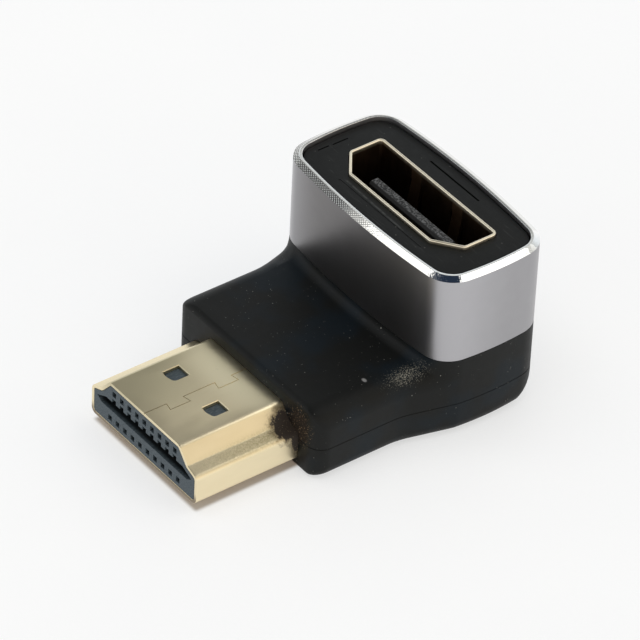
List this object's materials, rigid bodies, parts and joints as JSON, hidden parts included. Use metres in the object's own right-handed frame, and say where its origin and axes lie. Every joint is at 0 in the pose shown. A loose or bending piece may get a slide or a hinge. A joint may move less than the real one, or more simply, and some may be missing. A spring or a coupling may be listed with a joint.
{
  "type": "right angle video adapter",
  "caption": "Right angle adapter: a flat gold plug lies level, and its matching socket stands upright behind it in a grey metal sleeve on a black moulded elbow.",
  "frame": {"origin": "on the plane that the adapter lies on, straight below the socket's axis", "axes": "+Z out of the socket's mouth, -Y out of the plug's tip, X across the contacts"},
  "size_m": [0.0216, 0.0315, 0.0154],
  "materials": {
    "black_moulding": "satin",
    "grey_sleeve": "satin",
    "black_insert": "matte",
    "socket_sheet": "plated",
    "tongue_plastic": "matte",
    "board": "satin",
    "gold_sheet": "gold plated",
    "plug_plastic": "matte",
    "contact_metal": "gold plated"
  },
  "bodies": {
    "root": {"body_overmould": "black_moulding", "socket_sleeve": "grey_sleeve", "socket_insert": "black_insert", "socket_shell": "socket_sheet", "socket_insulator": "tongue_plastic", "socket_tongue": "tongue_plastic", "circuit_board": "board", "plug_shell": "gold_sheet", "plug_insulator": "plug_plastic", "plug_contact_1": "contact_metal", "plug_contact_2": "contact_metal", "plug_contact_3": "contact_metal", "plug_contact_4": "contact_metal", "plug_contact_5": "contact_metal", "plug_contact_6": "contact_metal", "plug_contact_7": "contact_metal", "plug_contact_8": "contact_metal", "plug_contact_9": "contact_metal", "plug_contact_10": "contact_metal", "plug_contact_11": "contact_metal", "plug_contact_12": "contact_metal", "plug_contact_13": "contact_metal", "plug_contact_14": "contact_metal", "plug_contact_15": "contact_metal", "plug_contact_16": "contact_metal", "plug_contact_17": "contact_metal", "plug_contact_18": "contact_metal", "plug_contact_19": "contact_metal", "socket_contact_1": "contact_metal", "socket_contact_2": "contact_metal", "socket_contact_3": "contact_metal", "socket_contact_4": "contact_metal", "socket_contact_5": "contact_metal", "socket_contact_6": "contact_metal", "socket_contact_7": "contact_metal", "socket_contact_8": "contact_metal", "socket_contact_9": "contact_metal", "socket_contact_10": "contact_metal", "socket_contact_11": "contact_metal", "socket_contact_12": "contact_metal", "socket_contact_13": "contact_metal", "socket_contact_14": "contact_metal", "socket_contact_15": "contact_metal", "socket_contact_16": "contact_metal", "socket_contact_17": "contact_metal", "socket_contact_18": "contact_metal", "socket_contact_19": "contact_metal"}
  },
  "joints": []
}
